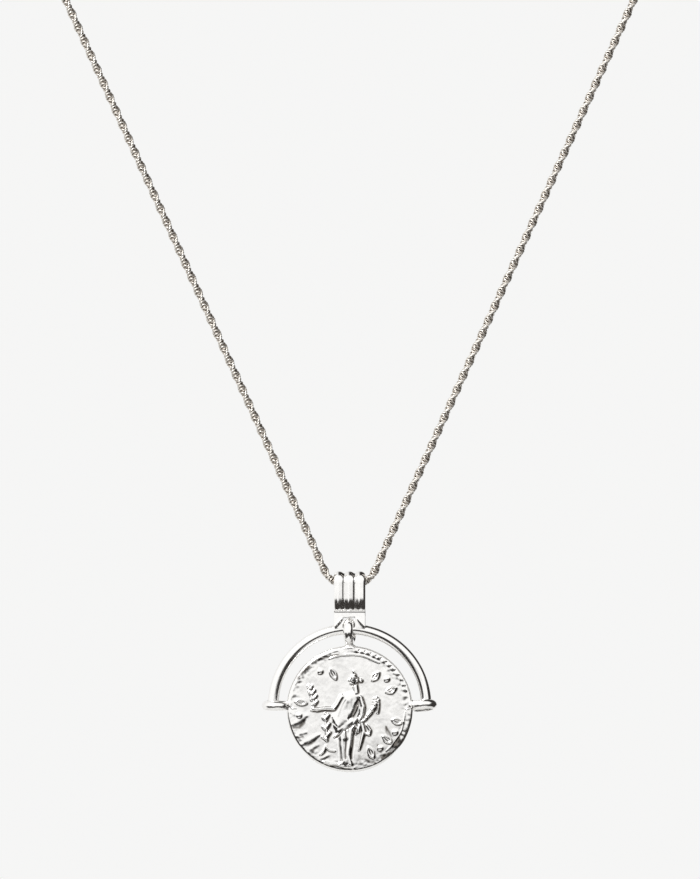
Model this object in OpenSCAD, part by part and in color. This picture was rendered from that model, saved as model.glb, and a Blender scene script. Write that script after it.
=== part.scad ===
// A coin pendant on a rope chain, hanging as it does when it is worn.
// A cast coin carries three soldered loops, which ride on an arch of round wire. A ribbed bail is
// soldered on the arch's crown, and the chain passes through it. Behind the neck the chain's ends
// go into a barrel clasp. X is to the right, Y to the back, Z up, and the origin is the point of
// the clasp that lies against the nape.

/* [Coin] */
// Diameter of the coin
coin_d = 18.2; // [16:0.1:20]
// Thickness of the coin between its two fields
coin_t = 1.6; // [1.3:0.1:2.2]
// Radius of the rounding round the coin's edge
coin_edge_r = 0.5; // [0.3:0.05:0.6]
// Height that the cast figure and marks stand above the field
relief_h = 0.35; // [0.25:0.05:0.45]
// Diameter of one pearl of the border
pearl_d = 0.58; // [0.5:0.02:0.66]
// Share of a pearl's diameter that parts it from the next
pearl_gap = 0.29; // [0.2:0.01:0.5]
// Depth of the two flats that are worn into the round edge
flat_depth = 0.12; // [0.06:0.02:0.2]

/* [Arch] */
// Diameter of the arch's wire
arch_wire_d = 1.6; // [1.4:0.1:1.8]
// Space between the coin's edge and the arch at the sides
arch_gap = 1.1; // [0.9:0.05:1.3]
// Height of the arch's centre above the coin's centre
coin_drop = 0.5; // [0.3:0.05:0.6]
// Length of the straight foot below each end of the arch
foot_l = 0.45; // [0.3:0.05:0.6]

/* [Loops] */
// Diameter of the hole through each loop
loop_bore_d = 2.7; // [2.5:0.05:2.9]
// Thickness of a loop's half-round wire
loop_wall = 0.7; // [0.6:0.05:0.75]
// Width of a loop's half-round wire
loop_w = 1.44; // [1.3:0.02:1.6]
// Free space between a loop and the side of the wire that it hangs on or bears against
seat_clearance = 0.15; // [0.12:0.01:0.25]
// Turn of the top loop about the upright, as it was soldered
top_loop_turn = 9; // [0:1:12]
// Tilt of the right loop, front edge up, as it was soldered
right_loop_tilt = 10; // [0:1:12]
// Roll of the right loop, outer end up, as it was soldered
right_loop_roll = 5; // [0:1:7]
// Diameter of the solder bead where a loop joins the coin
solder_d = 1.9; // [1.7:0.05:2.1]
// Depth of a solder bead's centre inside the coin's edge
solder_depth = 0.45; // [0.35:0.05:0.7]

/* [Bail] */
// Number of ribs side by side on the bail
rib_count = 3; // [3:2:5]
// Width of one rib
rib_w = 1.52; // [1.4:0.02:1.7]
// Depth of the valleys between the ribs
rib_depth = 0.36; // [0.28:0.02:0.4]
// Thickness of the bail at the ridge of a rib
bail_wall = 0.6; // [0.55:0.01:0.75]
// Free space between the chain and the inside of the bail
bail_clearance = 0.1; // [0.08:0.01:0.2]
// Height of the chain's axis above the arch's wire at its crown
bail_h = 6.8; // [6.5:0.1:8]
// Mean angle at which the bowed front and back of the bail lean in to each other
bail_lean = 9; // [7:0.5:11]
// Height of the smooth saddle above the arch's wire at its crown
saddle_h = 2.5; // [2.3:0.1:3]
// Radius inside the bail's wall where the lower end of a rib is rounded in
rib_end_in_r = 0.05; // [0.02:0.01:0.2]
// Depth of the saddle's face below the ridges of the ribs where they end
saddle_step = 0.16; // [0.1:0.02:0.2]
// Free space between the saddle's notch and the top loop
notch_clearance = 0.12; // [0.1:0.01:0.2]

/* [Chain] */
// Diameter round the outside of the rope chain
chain_d = 1.26; // [1.1:0.02:1.4]
// Angle of each side of the V from the upright
v_angle = 24.4; // [20:0.2:28]
// Radius of the chain's bend beside the bail
bend_r = 2.3; // [2.2:0.05:3]
// Length inside the mouth of the bail at which the chain starts to bend
bend_inside = 0.88; // [0.5:0.02:1]
// Height above the bail at which the chain starts to curve round the neck
v_height = 97; // [90:1:110]
// Distance from the front of the chain back to the clasp
neck_depth = 104; // [90:1:120]
// Height of the clasp above the bail
clasp_rise = 144; // [135:1:160]
// Reach of the curve upwards from the V
side_reach = 36; // [28:1:44]
// Reach of the curve sideways from the clasp
nape_reach = 52; // [44:1:60]

/* [Clasp] */
// Length of the barrel clasp
clasp_l = 10; // [8:0.5:12]
// Diameter of the barrel clasp
clasp_d = 3.2; // [2.8:0.1:4]
// Radius of the rounding at each end of the barrel
clasp_round = 0.7; // [0.4:0.1:0.8]
// Depth of the socket that holds an end of the chain
socket_depth = 2; // [1.5:0.1:2.5]
// Free space round the chain in its socket
socket_clearance = 0.1; // [0.06:0.01:0.15]

/* [Hidden] */
$fn = 64;

SILVER = [0.86, 0.85, 0.83];
CHAIN_SILVER = [0.66, 0.64, 0.61];

// Radii and heights in the pendant's own frame, whose origin is on the chain's axis in the bail
coin_r = coin_d / 2;
wire_r = arch_wire_d / 2;
loop_in_r = loop_bore_d / 2;
loop_out_r = loop_in_r + loop_wall;
loop_shift = loop_in_r - wire_r - seat_clearance;
arch_r = coin_r + arch_gap + wire_r;
crown_z = -bail_h;
arch_z = crown_z - arch_r;
coin_z = arch_z - coin_drop;
field_y = -coin_t / 2;

// The chain leaves the bail bending upwards, so the bail's inside clears its top at the mouths
chain_r = chain_d / 2;
bail_w = rib_count * rib_w;
chain_top = bend_r - sqrt(pow(bend_r - chain_r, 2) - pow(bend_inside, 2));
bail_in_r = chain_top + bail_clearance;
bail_out_r = bail_in_r + bail_wall;

// The bail's front and back are bowed, from upright beside the chain to twice the lean at the arch
bow_r = bail_h / sin(2 * bail_lean);
rib_end_r = rib_end_in_r + bail_wall;
rib_l = bail_h - saddle_h - rib_end_r;
rib_sweep = asin(rib_l / bow_r);
rib_end_drop = rib_l - rib_end_r * sin(rib_sweep);

// Where the pendant's frame lies in the necklace's, and where the clasp's axis does
pendant_at = [0, clasp_d / 2 - neck_depth, -clasp_rise];
clasp_at = [0, clasp_d / 2, 0];

// The standing figure's joints, as shares of the coin's radius: [right, up]
HEAD = [0.05, 0.47];
BUN = [0.12, 0.53];
NECK = [0.06, 0.3];
SHOULDER_L = [-0.14, 0.17];
SHOULDER_R = [0.18, 0.17];
WAIST = [0.05, -0.05];
ELBOW_OUT = [-0.26, 0.01];
HAND_OUT = [-0.54, 0];
ELBOW_IN = [0.21, -0.06];
HAND_IN = [0.14, -0.18];
HIP = [-0.08, -0.16];
KNEE_BACK = [-0.1, -0.42];
KNEE_FRONT = [0.02, -0.4];
FOOT_BACK = [-0.12, -0.8];
FOOT_FRONT = [0, -0.84];
GROUND = [-0.16, -0.87];
HORN_FOOT = [0.16, -0.18];
HORN_MOUTH = [0.43, 0.14];
SPRIG_TOP = [-0.66, 0.4];
FOLD_TOP = [0.3, -0.32];
FOLD_FOOT = [0.15, -0.64];

// Balls of the relief: [place, radius as a share of the coin's, share of the relief's height]
HEAD_BALLS = [[HEAD, 0.093, 1], [BUN, 0.05, 0.8], [NECK, 0.066, 0.7]];

// The dress and limbs: each is a smooth hull round balls like those above
LIMBS = [
    [[SHOULDER_L, 0.08, 0.9], [SHOULDER_R, 0.08, 0.9], [WAIST, 0.1, 1], [HIP, 0.105, 1]],
    [[HIP, 0.105, 1], [KNEE_BACK, 0.077, 0.7], [KNEE_FRONT, 0.088, 0.9]],
    [[SHOULDER_L, 0.055, 1], [ELBOW_OUT, 0.055, 0.9]],
    [[ELBOW_OUT, 0.055, 0.9], [HAND_OUT, 0.046, 0.8]],
    [[SHOULDER_R, 0.055, 1], [ELBOW_IN, 0.055, 1], [HAND_IN, 0.044, 1]],
    [[KNEE_BACK, 0.055, 0.7], [FOOT_BACK, 0.044, 0.6]],
    [[KNEE_FRONT, 0.055, 0.9], [FOOT_FRONT, 0.05, 0.8]],
];

// The horn and the fold of cloth: [from, to, balls, radius from, radius to, rise, sag to the side]
ROWS = [
    [HORN_FOOT, HORN_MOUTH, 7, 0.046, 0.077, 0.8, 0.05],
    [FOLD_TOP, FOLD_FOOT, 6, 0.06, 0.044, 0.6, 0.02],
];

// Marks that stand where a coin has its legend: [angle round the coin, share of its radius, kind]
MARKS = [
    [115, 0.62, "leaf"], [128, 0.76, "pellet"], [172, 0.78, "leaf"], [187, 0.8, "pellet"],
    [52, 0.66, "leaf"], [39, 0.76, "pellet"], [25, 0.72, "leaf"], [-14, 0.78, "leaf"],
    [-27, 0.8, "pellet"], [-39, 0.76, "leaf"], [-52, 0.78, "pellet"], [-64, 0.76, "leaf"],
];

// Two flats worn into the edge, as angles round the coin
FLATS = [222, 318];

function mix(a, b, t) = a + (b - a) * t;
function unit(v) = v / norm(v);
function reversed(list) = [for (i = [len(list) - 1:-1:0]) list[i]];
function bezier(p, t) =
    p[0] * pow(1 - t, 3) + p[1] * 3 * t * pow(1 - t, 2) + p[2] * 3 * t * t * (1 - t) + p[3] * pow(t, 3);

// A point of the coin's field, from shares of its radius
function on_field(share) = [share.x * coin_r, field_y, coin_z + share.y * coin_r];

// A ball of the relief, whose top stands a share of the relief's height above the field
module relief_ball(place, size, rise) {
    r = size * coin_r;
    translate(on_field(place) + [0, r - relief_h * rise, 0])
        sphere(r = r, $fn = 32);
}

// The figure's dress and limbs, and its head
module figure() {
    for (limb = LIMBS)
        hull()
            for (b = limb)
                relief_ball(b[0], b[1], b[2]);
    for (b = HEAD_BALLS)
        relief_ball(b[0], b[1], b[2]);
}

// Balls in a row that swell or dwindle from one place to another, with a sag to one side
module relief_row(from, to, count, size_from, size_to, rise, sag) {
    for (i = [0:count - 1]) {
        t = i / (count - 1);
        aside = sag * sin(180 * t);
        relief_ball(mix(from, to, t) + [aside, -aside], mix(size_from, size_to, t), rise);
    }
}

// The sprig in the outstretched hand, with grains in pairs up its stem
module sprig() {
    grain_pairs = 4;
    grain_size = 0.04;
    grain_aside = 0.045;
    grain_rise = 0.6;
    for (i = [1:grain_pairs], side = [-1, 1]) {
        stem = mix(HAND_OUT, SPRIG_TOP, i / grain_pairs);
        relief_ball(stem + [grain_aside * side, 0], grain_size, grain_rise);
    }
}

// The line that the figure stands on
module ground_line() {
    ground_l = 0.45 * coin_r;
    ground_w = 0.04 * coin_r;
    translate(on_field(GROUND) - [ground_l / 2, relief_h / 2, ground_w / 2])
        cube([ground_l, relief_h / 2 + coin_t / 2, ground_w]);
}

// One mark of the border: a pellet, or a leaf of three balls in a row that points outwards
module mark(angle, share, kind) {
    pellet_size = 0.05;
    leaf_size = 0.055;
    leaf_taper = 0.013;
    leaf_step = 0.055;
    mark_rise = 0.7;
    radial = [cos(angle), sin(angle)];
    if (kind == "pellet")
        relief_ball(radial * share, pellet_size, mark_rise);
    else
        for (i = [-1:1])
            relief_ball(radial * (share + leaf_step * i), leaf_size - leaf_taper * abs(i), mark_rise);
}

// The struck border: pearls along the upper right, and a smooth rim along the upper left
module border() {
    pearl_first = 19.5;
    pearl_last = 85;
    rim_first = 96;
    rim_sweep = 62;
    border_rise = 0.4;
    pearl_r = pearl_d / 2;
    track_r = coin_r - coin_edge_r - pearl_r / 2;
    pearl_step = 2 * asin(pearl_r * (1 + pearl_gap) / track_r);
    for (angle = [pearl_first:pearl_step:pearl_last])
        relief_ball([cos(angle), sin(angle)] * track_r / coin_r, pearl_r / coin_r, border_rise);
    translate([0, field_y + pearl_r - relief_h * border_rise, coin_z])
        rotate([90, 0, 0])
            rotate([0, 0, rim_first])
                rotate_extrude(angle = rim_sweep)
                    translate([track_r, 0])
                        circle(r = pearl_r);
}

// All of the relief, kept in front of the coin's middle
module relief() {
    intersection() {
        union() {
            figure();
            sprig();
            ground_line();
            border();
            for (row = ROWS)
                relief_row(row[0], row[1], row[2], row[3], row[4], row[5], row[6]);
            for (m = MARKS)
                mark(m[0], m[1], m[2]);
        }
        translate([-coin_r, -coin_t, coin_z - coin_r])
            cube([coin_d, coin_t, coin_d]);
    }
}

// The coin's outline from its axis out: a bar with round ends
module blank_section() {
    translate([0, -coin_t / 2])
        square([coin_r - coin_edge_r, coin_t]);
    translate([0, -coin_t / 2 + coin_edge_r])
        square([coin_r, coin_t - 2 * coin_edge_r]);
    for (side = [-1, 1])
        translate([coin_r - coin_edge_r, side * (coin_t / 2 - coin_edge_r)])
            circle(r = coin_edge_r);
}

// The coin's blank: a disc with a rounded edge, worn to two shallow flats
module blank() {
    flat_w = coin_r;
    translate([0, 0, coin_z])
        rotate([90, 0, 0])
            difference() {
                rotate_extrude()
                    blank_section();
                for (angle = FLATS)
                    rotate([0, 0, angle])
                        translate([coin_r - flat_depth, -flat_w / 2, -coin_t])
                            cube([coin_r, flat_w, 2 * coin_t]);
            }
}

// A loop of half-round wire about its own Z axis
module loop_ring() {
    bead_r = loop_w / 2;
    rotate_extrude()
        intersection() {
            translate([loop_out_r - bead_r, 0])
                circle(r = bead_r);
            translate([loop_in_r, -loop_w])
                square([loop_wall, 2 * loop_w]);
        }
}

// The bead of solder that joins a loop to the coin's edge, where the edge looks in a direction
module solder(direction, up) {
    translate([0, 0, coin_z + up] + direction * (coin_r - solder_depth))
        sphere(d = solder_d);
}

// The cast coin with its relief, and the three loops soldered on its edge
module coin() {
    side_at = [arch_r - loop_shift, 0, arch_z];
    color(SILVER) {
        blank();
        relief();
        translate([0, 0, crown_z - loop_shift])
            rotate([0, 90, -top_loop_turn])
                loop_ring();
        translate(side_at)
            rotate([-right_loop_tilt, -right_loop_roll, 0])
                loop_ring();
        mirror([1, 0, 0])
            translate(side_at)
                loop_ring();
        solder([0, 0, 1], 0);
        solder([1, 0, 0], coin_drop);
        solder([-1, 0, 0], coin_drop);
    }
}

// The arch: half a ring of round wire, with short straight feet inside the side loops
module arch() {
    translate([0, 0, arch_z]) {
        rotate([90, 0, 0])
            rotate_extrude(angle = 180)
                translate([arch_r, 0])
                    circle(r = wire_r);
        for (side = [-1, 1])
            translate([side * arch_r, 0, -foot_l])
                cylinder(r = wire_r, h = foot_l);
    }
}

// The bail's section across its ribs: [outwards from the chain, along the chain]
module rib_section() {
    rib_r = (pow(rib_w / 2, 2) + pow(rib_depth, 2)) / (2 * rib_depth);
    intersection() {
        for (i = [0:rib_count - 1])
            translate([bail_out_r - rib_r, (i - (rib_count - 1) / 2) * rib_w])
                circle(r = rib_r);
        translate([bail_in_r, -bail_w / 2])
            square([bail_wall, bail_w]);
    }
}

// Half the bail's depth at the ridge of a rib, at a distance below the chain's axis
function half_depth(drop) = bail_out_r - bow_r + sqrt(pow(bow_r, 2) - pow(drop, 2));

// The ribs swept about an axis along X, behind them and below the chain, from one angle by another
module rib_sweep_about(back, drop, radius, from, angle) {
    translate([0, back, -drop])
        rotate([0, 90, 0])
            rotate([0, 0, from])
                rotate_extrude(angle = angle)
                    translate([radius - bail_out_r, 0])
                        rib_section();
}

// The front of the bail: ribs bowed down and in from the chain, and rounded in where they end
module bail_front() {
    front = 270;
    end_turn = 65;
    end_lap = 10;
    end_from = front + rib_sweep - end_lap;
    end_back = rib_end_r * cos(rib_sweep) - half_depth(rib_l);
    rib_sweep_about(bow_r - bail_out_r, 0, bow_r, front, rib_sweep, $fn = 240);
    rib_sweep_about(end_back, rib_end_drop, rib_end_r, end_from, end_turn + end_lap);
}

// The smooth saddle below the ribs, which fills their rounded ends and is soldered on the arch
module saddle() {
    fill = [half_depth(rib_l) - rib_end_r * cos(rib_sweep), -rib_end_drop];
    top = [half_depth(bail_h - saddle_h) - saddle_step, crown_z + saddle_h];
    foot = [wire_r, crown_z];
    right = [fill, top, foot];
    rotate([90, 0, 90])
        linear_extrude(height = bail_w, center = true)
            polygon(concat(right, [for (p = reversed(right)) [-p.x, p.y]]));
}

// The notch that lets the top loop pass round the arch's crown
module loop_notch() {
    notch_w = loop_w + 2 * notch_clearance;
    translate([0, 0, crown_z - loop_shift])
        rotate([0, 90, -top_loop_turn])
            cylinder(r = loop_out_r + notch_clearance, h = notch_w, center = true);
}

// The arch with the ribbed bail soldered on its crown
module arch_and_bail() {
    color(SILVER) {
        arch();
        difference() {
            union() {
                rib_sweep_about(0, 0, bail_out_r, 90, 180);
                bail_front();
                mirror([0, 1, 0])
                    bail_front();
                saddle();
            }
            loop_notch();
        }
    }
}

// Half of the chain's route, from the bail to the right end in the clasp
bend_steps = 5;
straight_steps = 8;
neck_steps = 24;
bend_start = bail_w / 2 - bend_inside;
rise_angle = 90 - v_angle;
v_way = [sin(v_angle), 0, cos(v_angle)];
v_start = [bend_start + bend_r * sin(rise_angle), 0, bend_r * (1 - cos(rise_angle))];
v_end = v_start + v_way * (v_height - v_start.z) / v_way.z;
socket_end = clasp_l / 2 - socket_depth + socket_clearance;
chain_end = clasp_at - pendant_at + [socket_end, 0, 0];
neck_curve = [v_end, v_end + v_way * side_reach, chain_end + [nape_reach, 0, 0], chain_end];
half_route = concat(
    [for (i = [0:bend_steps])
        let (a = rise_angle * i / bend_steps)
        [bend_start + bend_r * sin(a), 0, bend_r * (1 - cos(a))]],
    [for (i = [1:straight_steps]) mix(v_start, v_end, i / straight_steps)],
    [for (i = [1:neck_steps]) bezier(neck_curve, i / neck_steps)]
);

// The whole route, from the left end in the clasp down through the bail to the right end
route = concat([for (p = reversed(half_route)) [-p.x, p.y, p.z]], half_route);

// The way along the route at each of its points
function way_at(i) = unit(route[min(i + 1, len(route) - 1)] - route[max(i - 1, 0)]);

// Sideways directions that follow the route without twisting
function side_ways(i, last) =
    i >= len(route) ? [] :
    let (way = way_at(i), side = unit(last - way * (last * way)))
    concat([side], side_ways(i + 1, side));

// The envelope of the rope chain, swept along its route
module rope_chain() {
    tube_sides = 8;
    sides = side_ways(0, [0, 0, 1]);
    points = [for (i = [0:len(route) - 1])
        let (side = sides[i], up = cross(way_at(i), side))
        for (j = [0:tube_sides - 1])
            let (a = 360 * (j + 0.5) / tube_sides)
            route[i] + (side * cos(a) + up * sin(a)) * chain_r];
    walls = [for (i = [0:len(route) - 2], j = [0:tube_sides - 1])
        let (k = (j + 1) % tube_sides, a = i * tube_sides, b = a + tube_sides)
        for (face = [[a + j, b + j, a + k], [b + j, b + k, a + k]])
            face];
    start_cap = [for (j = [0:tube_sides - 1]) j];
    end_cap = [for (j = [tube_sides - 1:-1:0]) (len(route) - 1) * tube_sides + j];
    color(CHAIN_SILVER)
        polyhedron(points = points, faces = concat([start_cap], walls, [end_cap]));
}

// The clasp's outline from its axis out: a bar with rounded corners
module clasp_section() {
    translate([0, -clasp_l / 2])
        square([clasp_d / 2 - clasp_round, clasp_l]);
    translate([0, -clasp_l / 2 + clasp_round])
        square([clasp_d / 2, clasp_l - 2 * clasp_round]);
    for (side = [-1, 1])
        translate([clasp_d / 2 - clasp_round, side * (clasp_l / 2 - clasp_round)])
            circle(r = clasp_round);
}

// The barrel clasp behind the neck, with a socket at each end for the chain
module clasp() {
    socket_r = chain_r + socket_clearance;
    color(SILVER)
        rotate([0, 90, 0])
            difference() {
                rotate_extrude()
                    clasp_section();
                for (side = [-1, 1])
                    translate([0, 0, side * clasp_l / 2 - socket_depth])
                        cylinder(r = socket_r, h = 2 * socket_depth);
            }
}

translate(pendant_at)
        coin();
translate(pendant_at)
        arch_and_bail();
translate(pendant_at)
        rope_chain();
translate(clasp_at)
        clasp();
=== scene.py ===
import math

import bmesh
import bpy
import numpy as np
from bpy.props import FloatProperty, FloatVectorProperty, IntProperty, PointerProperty
from mathutils import Matrix, Vector


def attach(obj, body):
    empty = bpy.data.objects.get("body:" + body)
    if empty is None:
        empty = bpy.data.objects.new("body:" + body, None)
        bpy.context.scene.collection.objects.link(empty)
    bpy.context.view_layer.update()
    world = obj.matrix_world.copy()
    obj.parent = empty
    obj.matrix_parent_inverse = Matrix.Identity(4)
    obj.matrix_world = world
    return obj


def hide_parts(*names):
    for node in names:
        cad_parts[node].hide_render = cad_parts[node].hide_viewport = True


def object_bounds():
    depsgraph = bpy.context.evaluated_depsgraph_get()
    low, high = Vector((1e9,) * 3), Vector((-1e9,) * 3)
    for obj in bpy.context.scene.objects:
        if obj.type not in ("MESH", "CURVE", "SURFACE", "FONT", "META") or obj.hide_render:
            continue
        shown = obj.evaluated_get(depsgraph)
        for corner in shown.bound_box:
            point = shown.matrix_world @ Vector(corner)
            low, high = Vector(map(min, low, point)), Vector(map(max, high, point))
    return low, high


bl_info = {
    "name": "Coin pendant on a rope chain",
    "version": (1, 0, 0),
    "blender": (4, 5, 0),
    "location": "3D View > Sidebar > Pendant",
    "description": "Casts the coin, bends the arch and bail, lays the chain and sets the light",
    "category": "Object",
}

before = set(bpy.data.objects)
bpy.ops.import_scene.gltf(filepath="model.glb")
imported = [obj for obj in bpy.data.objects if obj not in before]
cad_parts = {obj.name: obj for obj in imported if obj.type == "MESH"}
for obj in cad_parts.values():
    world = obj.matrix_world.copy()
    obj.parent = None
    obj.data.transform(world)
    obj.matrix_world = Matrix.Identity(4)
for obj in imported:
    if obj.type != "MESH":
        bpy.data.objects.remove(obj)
CAD_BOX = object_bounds()

MM = 0.001


def length(name, description, mm):
    """A length that a user may change, given in millimetres and kept in metres."""
    return FloatProperty(
        name=name, description=description, default=mm * MM, unit="LENGTH", precision=5
    )


def angle(name, description, degrees):
    """An angle that a user may change, given in degrees."""
    return FloatProperty(
        name=name, description=description, default=math.radians(degrees), subtype="ANGLE"
    )


def share(name, description, default):
    """A number from 0 to 1 that a user may change."""
    return FloatProperty(
        name=name, description=description, default=default, min=0, max=1, subtype="FACTOR"
    )


def colour(name, description, default):
    """A colour that a user may change."""
    return FloatVectorProperty(
        name=name, description=description, default=default, min=0, max=1, subtype="COLOR"
    )


class CoinSizes(bpy.types.PropertyGroup):
    """Sizes of the cast coin and of the loops soldered on its edge."""

    coin_d: length("Coin", "Diameter of the coin", 18.2)
    coin_t: length("Thickness", "Thickness of the coin between its two fields", 1.6)
    edge_r: length("Edge", "Radius of the rounding round the coin's edge", 0.5)
    relief_h: length("Relief", "Height of the cast figure above the field", 0.35)
    ring_step: length("Front detail", "Distance between the rings of points on the front", 0.075)
    back_step: length("Back detail", "Distance between the rings of points on the back", 0.3)
    flat_depth: length("Flats", "Depth of the two flats worn into the edge", 0.12)
    spokes: IntProperty(name="Spokes", description="Points round the coin", default=520)
    loop_bore_d: length("Loop bore", "Diameter of the hole through each loop", 2.7)
    loop_wall: length("Loop wall", "Thickness of a loop's half-round wire", 0.7)
    loop_w: length("Loop width", "Width of a loop's half-round wire", 1.44)
    seat: length("Seat", "Free space between a loop and the wire it hangs on", 0.15)
    top_turn: angle("Top turn", "Turn of the top loop about the upright", 9)
    right_tilt: angle("Right tilt", "Tilt of the right loop, front edge up", 10)
    right_roll: angle("Right roll", "Roll of the right loop, outer end up", 5)


class ArchSizes(bpy.types.PropertyGroup):
    """Sizes of the wire arch and of the ribbed bail on its crown."""

    wire_d: length("Wire", "Diameter of the arch's wire", 1.6)
    gap: length("Gap", "Space between the coin's edge and the arch", 1.1)
    coin_drop: length("Coin drop", "Height of the arch's centre above the coin's", 0.5)
    foot_l: length("Foot", "Straight length below each end of the arch", 0.45)
    bail_h: length("Bail height", "Height of the chain's axis above the arch's crown", 6.8)
    bail_in_r: length("Bail bore", "Radius of the bail's inside over the chain", 0.981)
    bail_wall: length("Bail wall", "Thickness of the bail at the ridge of a rib", 0.6)
    bow_start: length("Bow start", "Distance below the chain's axis where a rib bows in", 2.2)
    bow_r: length("Bow", "Radius of the bow in which a rib comes in", 6)
    saddle_h: length("Saddle", "Height of the smooth saddle above the arch's crown", 2.5)
    rib_w: length("Rib width", "Width of one rib", 1.52)
    rib_depth: length("Rib depth", "Depth of the valleys between the ribs", 0.36)
    rib_end_r: length("Rib end", "Radius of the rounding at the lower end of a rib", 0.36)
    saddle_lean: length("Saddle lean", "Depth of the saddle's top behind the arch's front", 0.04)
    notch_gap: length("Notch gap", "Free space round the top loop in the saddle", 0.12)
    ribs: IntProperty(name="Ribs", description="Ribs side by side on the bail", default=3)


class ChainSizes(bpy.types.PropertyGroup):
    """Sizes of the rope chain, of its route round the neck and of the clasp."""

    chain_d: length("Chain", "Diameter round the outside of the rope chain", 1.26)
    ring_wire_d: length("Link wire", "Diameter of the wire of one link", 0.25)
    ring_d: length("Link", "Diameter round the outside of one link", 1.15)
    ring_step: length("Link step", "Distance along a strand from one link to the next", 0.46)
    pitch: length("Pitch", "Length of one whole turn of the two strands", 4.4)
    ring_shift: length("Link shift", "Distance of a link's centre from the chain's axis", 0.1)
    ring_lean: angle("Link lean", "Angle of a link's arc from the chain's length", 58)
    ring_turn: angle("Link turn", "Turn of a link about its own arc", 30)
    v_angle: angle("V", "Angle of each side of the V from the upright", 24.4)
    bend_r: length("Bend", "Radius of the chain's bend beside the bail", 2.3)
    bend_inside: length("Bend inside", "Length inside the bail's mouth where the bend starts", 0.88)
    v_height: length("V height", "Height above the bail where the V ends", 97)
    neck_depth: length("Neck depth", "Distance from the front of the chain to the clasp", 104)
    clasp_rise: length("Clasp rise", "Height of the clasp above the bail", 144)
    side_reach: length("Side reach", "Reach of the curve upwards from the V", 36)
    nape_reach: length("Nape reach", "Reach of the curve sideways from the clasp", 52)
    clasp_l: length("Clasp", "Length of the barrel clasp", 10)
    clasp_d: length("Clasp diameter", "Diameter of the barrel clasp", 3.2)
    socket_depth: length("Socket", "Depth of the socket for an end of the chain", 2)


class SilverLook(bpy.types.PropertyGroup):
    """Colours and polish of the silver."""

    bright: colour("Silver", "Colour of the polished silver", (0.93, 0.92, 0.905))
    # Colour of the coin's tarnish and of the painted shade and dark reflection painted on it
    coin_tarnish_and_shade: colour("Recess", "Colour of the silver down in the relief", (0.17, 0.155, 0.14))
    link: colour("Links", "Colour of the chain's wire", (0.8, 0.765, 0.715))
    # Colour of the painted shade between the chain's links
    deep_shade: colour("Deep links", "Colour between the links", (0.38, 0.325, 0.27))
    polish: share("Polish", "Roughness of the polished silver", 0.13)
    link_polish: share("Link polish", "Roughness of the chain's wire", 0.34)


class StudioLook(bpy.types.PropertyGroup):
    """The camera's place and the light of the studio."""

    distance: length("Distance", "Distance of the camera from the pendant", 900)
    view_h: length("View height", "Height of what the camera shows at the pendant", 126.6)
    view_z: length("View centre", "Height of the picture's middle above the bail", 20.5)
    view_x: length("View side", "The picture's middle, to the right of the bail", 0.05)
    floor_drop: length("Floor", "Height of the coin's foot above the floor", 300)
    floor_r: length("Floor radius", "Radius of the floor", 350)
    back: colour("Backdrop", "Colour of the light behind the pendant", (0.92, 0.92, 0.915))


def hook(chain):
    """The point on the chain's axis in the bail, from which the pendant hangs."""
    return Vector((0, chain.clasp_d / 2 - chain.neck_depth, -chain.clasp_rise))


def crown_z(arch):
    """Height of the arch's wire at its crown, in the pendant's own frame."""
    return -arch.bail_h


def arch_centre_z(coin, arch):
    """Height of the arch's centre, in the pendant's own frame."""
    return crown_z(arch) - arch_r(coin, arch)


def arch_r(coin, arch):
    """Radius of the arch, to the middle of its wire."""
    return coin.coin_d / 2 + arch.gap + arch.wire_d / 2


def coin_centre(coin, arch):
    """The coin's centre, in the pendant's own frame."""
    return Vector((0, 0, arch_centre_z(coin, arch) - arch.coin_drop))


# Bmesh helpers


def spun(bm, geometry, centre, axis, turn, steps, whole=False):
    """Spins a part of a bmesh about an axis, and returns what stands at the end of the turn."""
    made = bmesh.ops.spin(
        bm, geom=geometry, cent=centre, axis=axis, angle=turn, steps=steps, use_merge=whole
    )
    return made["geom_last"]


def shaped(bm, points):
    """A flat face through points, as the section of a part."""
    return bm.faces.new([bm.verts.new(p) for p in points])


def pushed(bm, face, way):
    """Extrudes an end face of a part, and returns the new end."""
    made = bmesh.ops.extrude_face_region(bm, geom=[face])["geom"]
    bmesh.ops.translate(bm, vec=way, verts=[g for g in made if isinstance(g, bmesh.types.BMVert)])
    return next(g for g in made if isinstance(g, bmesh.types.BMFace))


def bordered(face):
    """A face with its edges and corners, as a spin takes them."""
    return [face, *face.edges, *face.verts]


def outwards(bm):
    """Merges the doubles of a bmesh and turns all its faces outwards."""
    bmesh.ops.remove_doubles(bm, verts=bm.verts, dist=1e-7)
    bmesh.ops.recalc_face_normals(bm, faces=bm.faces)


def turned(points, axis, steps):
    """A closed skin: a line of points, turned once round an axis through the origin."""
    bm = bmesh.new()
    line = [bm.verts.new(p) for p in points]
    for a, b in zip(line, line[1:]):
        bm.edges.new((a, b))
    spun(bm, bm.verts[:] + bm.edges[:], (0, 0, 0), axis, math.tau, steps, whole=True)
    outwards(bm)
    return bm


def as_object(name, bm):
    """A bmesh as an object of the scene. The bmesh itself is freed."""
    mesh = bpy.data.meshes.new(name)
    bm.to_mesh(mesh)
    bm.free()
    made = bpy.data.objects.new(name, mesh)
    bpy.context.scene.collection.objects.link(made)
    return made


def through_modifier(bm, kind, **settings):
    """What one modifier makes of a bmesh, worked out in millimetres because its steps are small."""
    bm.transform(Matrix.Scale(1 / MM, 4))
    blank = as_object("blank", bm)
    modifier = blank.modifiers.new("step", kind)
    for name, value in settings.items():
        setattr(modifier, name, value)
    made = bmesh.new()
    made.from_object(blank, bpy.context.evaluated_depsgraph_get())
    bpy.data.meshes.remove(blank.data)
    made.transform(Matrix.Scale(MM, 4))
    return made


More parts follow.
